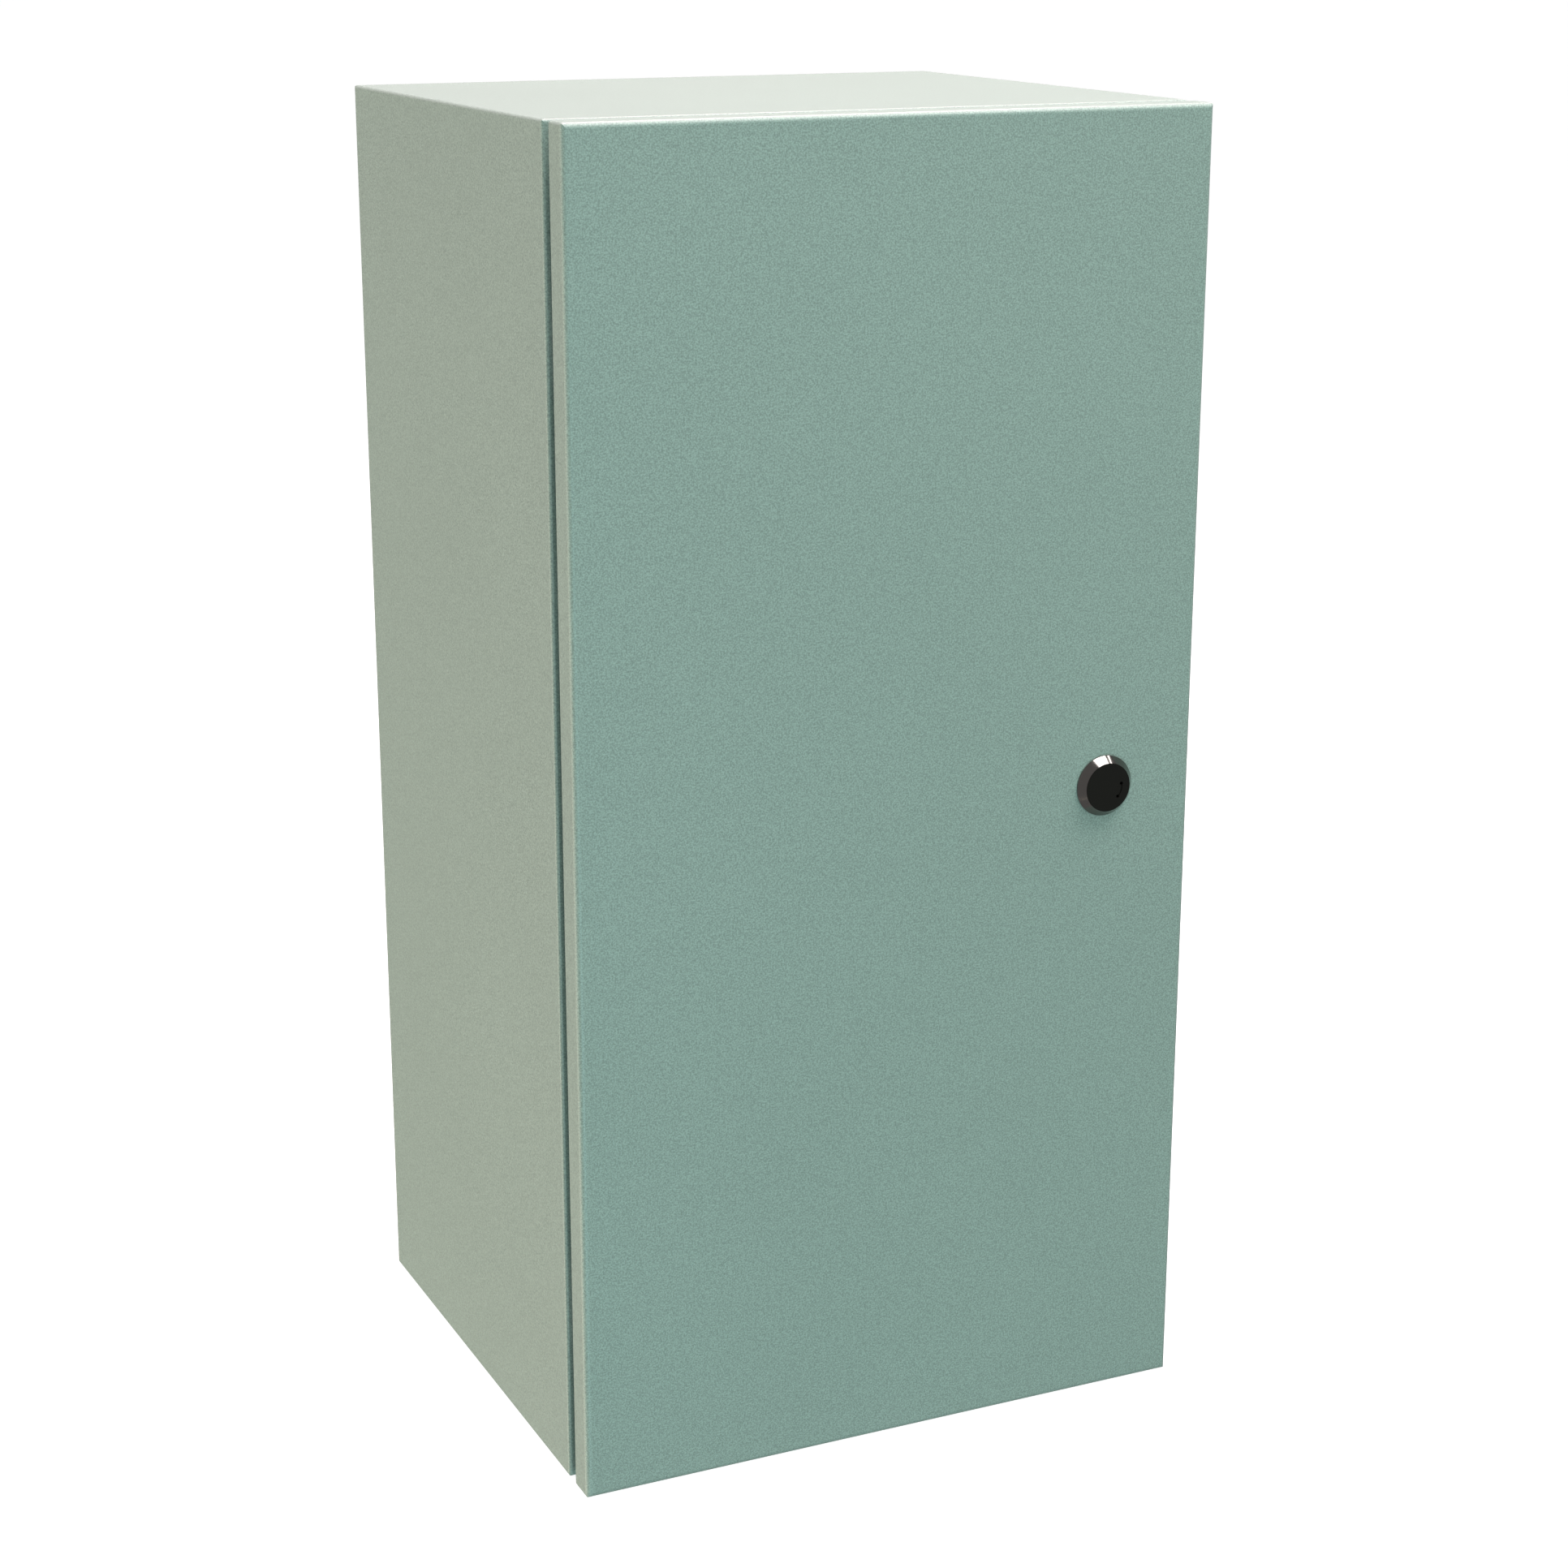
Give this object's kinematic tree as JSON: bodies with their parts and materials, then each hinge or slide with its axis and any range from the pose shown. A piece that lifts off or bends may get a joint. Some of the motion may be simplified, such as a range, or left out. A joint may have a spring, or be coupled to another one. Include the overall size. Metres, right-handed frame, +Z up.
{
  "type": "switchboard cabinet",
  "caption": "Wall-mounted sheet-steel switchboard cabinet with a hinged front door, a quarter-turn lock, and rails, ducts and switchgear on a mounting plate inside.",
  "frame": {"origin": "centre of the bounding box's footprint, on the plane the base stands on", "axes": "+Z up, +Y from the door to the wall, +X to the right seen from the front; the door is hinged on the -X side"},
  "size_m": [0.3, 0.2764, 0.6],
  "materials": {
    "enclosure_paint": "powder coat with a fine even grain",
    "galvanised": "galvanised sheet",
    "zinc_plated": "bright zinc plating",
    "passivated_rail": "yellowish passivated zinc",
    "hinge_steel": "satin zinc plating",
    "gasket_foam": "foamed polyurethane",
    "lock_chrome": "polished chrome plating",
    "lock_black": "moulded polyamide",
    "pocket_plastic": "moulded polystyrene",
    "duct_plastic": "extruded vinyl",
    "case_plastic": "moulded polyamide",
    "toggle_black": "moulded, satin",
    "toggle_red": "moulded, satin",
    "toggle_blue": "moulded, satin",
    "button_yellow": "moulded, satin",
    "cartridge_plastic": "moulded polyamide",
    "terminal_plastic": "moulded polyamide",
    "support_plastic": "moulded polyamide",
    "brass_bar": "drawn brass",
    "brown_insulation": "extruded vinyl",
    "black_insulation": "extruded vinyl",
    "grey_insulation": "extruded vinyl",
    "blue_insulation": "extruded vinyl",
    "green_insulation": "extruded vinyl with a yellow stripe"
  },
  "bodies": {
    "cabinet": {"body_shell": "enclosure_paint", "rear_panel": "enclosure_paint", "gland_plate": "enclosure_paint", "mounting_plate": "galvanised", "gland_fixings": "zinc_plated", "mounting_studs": "zinc_plated", "standoff_sleeves": "zinc_plated", "mounting_nuts": "zinc_plated", "hinge_screws": "zinc_plated", "rail_screws": "zinc_plated", "terminal_screws": "zinc_plated", "bar_screws": "zinc_plated", "din_rail_upper": "passivated_rail", "din_rail_middle": "passivated_rail", "din_rail_lower": "passivated_rail", "hinge_arms": "hinge_steel", "gland_gasket": "gasket_foam", "wiring_ducts": "duct_plastic", "duct_covers": "duct_plastic", "rail_stops": "duct_plastic", "main_switch_case": "case_plastic", "residual_current_case": "case_plastic", "surge_arrester_base": "case_plastic", "breaker_case_1": "case_plastic", "breaker_case_2": "case_plastic", "breaker_case_3": "case_plastic", "breaker_case_4": "case_plastic", "surge_cartridges": "cartridge_plastic", "terminal_blocks": "terminal_plastic", "bar_supports": "support_plastic", "neutral_bar": "brass_bar", "earth_bar": "brass_bar", "earth_stud_body": "brass_bar", "earth_lug_body": "brass_bar", "wires_phase_1": "brown_insulation", "wires_phase_2": "black_insulation", "wires_phase_3": "grey_insulation", "wires_neutral": "blue_insulation", "wires_earth": "green_insulation", "earth_strap": "green_insulation"},
    "door": {"door_panel": "enclosure_paint", "door_gasket": "gasket_foam", "hinge_leaves": "hinge_steel", "hinge_pins": "zinc_plated", "earth_stud_door": "brass_bar", "earth_lug_door": "brass_bar", "document_pocket": "pocket_plastic", "lock_seal": "gasket_foam", "lock_housing": "lock_chrome", "lock_nut": "zinc_plated"},
    "lock": {"lock_rotor": "lock_black", "lock_cam": "galvanised", "cam_screw": "zinc_plated"},
    "main_toggle": {"main_switch_toggle": "toggle_red"},
    "residual_toggle": {"residual_current_toggle": "toggle_blue"},
    "test_key": {"test_button": "button_yellow"},
    "toggle_1": {"breaker_toggle_1": "toggle_black"},
    "toggle_2": {"breaker_toggle_2": "toggle_black"},
    "toggle_3": {"breaker_toggle_3": "toggle_black"},
    "toggle_4": {"breaker_toggle_4": "toggle_black"}
  },
  "joints": [
    {"name": "door_swing", "type": "hinge", "parent": "cabinet", "child": "door", "pos_m": [-0.144, -0.12483, 0.3], "axis": [0, 0, -1], "range_deg": [0, 120], "deforming": ["earth_strap"]},
    {"name": "lock_turn", "type": "hinge", "parent": "door", "child": "lock", "pos_m": [0.105, -0.13382, 0.3], "axis": [0, 1, 0], "range_deg": [0, 90]},
    {"name": "main_switching", "type": "hinge", "parent": "cabinet", "child": "main_toggle", "pos_m": [0, 0.05967, 0.471], "axis": [1, 0, 0], "range_deg": [0, 70]},
    {"name": "residual_switching", "type": "hinge", "parent": "cabinet", "child": "residual_toggle", "pos_m": [0, 0.05967, 0.471], "axis": [1, 0, 0], "range_deg": [0, 70]},
    {"name": "test_press", "type": "slide", "parent": "cabinet", "child": "test_key", "axis": [0, 1, 0], "range_m": [0, 0.002], "stiffness_N_per_m": 250, "springref_m": -0.001},
    {"name": "breaker_switching_1", "type": "hinge", "parent": "cabinet", "child": "toggle_1", "pos_m": [0, 0.05967, 0.334], "axis": [1, 0, 0], "range_deg": [0, 70]},
    {"name": "breaker_switching_2", "type": "hinge", "parent": "cabinet", "child": "toggle_2", "pos_m": [0, 0.05967, 0.334], "axis": [1, 0, 0], "range_deg": [0, 70]},
    {"name": "breaker_switching_3", "type": "hinge", "parent": "cabinet", "child": "toggle_3", "pos_m": [0, 0.05967, 0.334], "axis": [1, 0, 0], "range_deg": [0, 70]},
    {"name": "breaker_switching_4", "type": "hinge", "parent": "cabinet", "child": "toggle_4", "pos_m": [0, 0.05967, 0.334], "axis": [1, 0, 0], "range_deg": [0, 70]}
  ]
}
